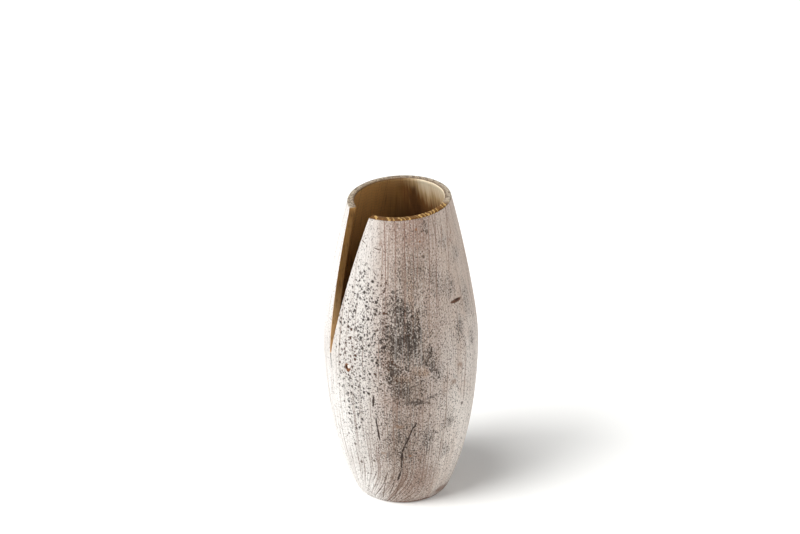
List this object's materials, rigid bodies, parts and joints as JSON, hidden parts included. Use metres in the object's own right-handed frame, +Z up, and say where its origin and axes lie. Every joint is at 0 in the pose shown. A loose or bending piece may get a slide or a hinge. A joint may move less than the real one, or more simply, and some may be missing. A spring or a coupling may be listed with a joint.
{
  "type": "turned wood vase",
  "caption": "Free-standing belly-shaped turned wood vase with a tapering slit down its side, a plugged foot and a glass water liner that lifts out through the sloping mouth.",
  "frame": {"origin": "middle of the foot's underside, on the surface that the vase stands on", "axes": "+Z up along the turning axis; -Y toward the slit and the low side of the mouth; +X to the right of the slit seen from outside"},
  "size_m": [0.117, 0.117, 0.2419],
  "materials": {
    "limed_wood": "weathered, pale limed and unvarnished",
    "plug_wood": "oiled, turned smooth",
    "cork": "bare agglomerated cork",
    "clear_glass": "clear, fire-polished"
  },
  "bodies": {
    "vase": {"turned_body": "limed_wood", "base_plug": "plug_wood", "cork_seat": "cork"},
    "liner": {"glass_liner": "clear_glass"}
  },
  "joints": [
    {"name": "liner_lift", "type": "slide", "parent": "vase", "child": "liner", "axis": [0, 0, 1], "range_m": [0, 0.235]}
  ]
}
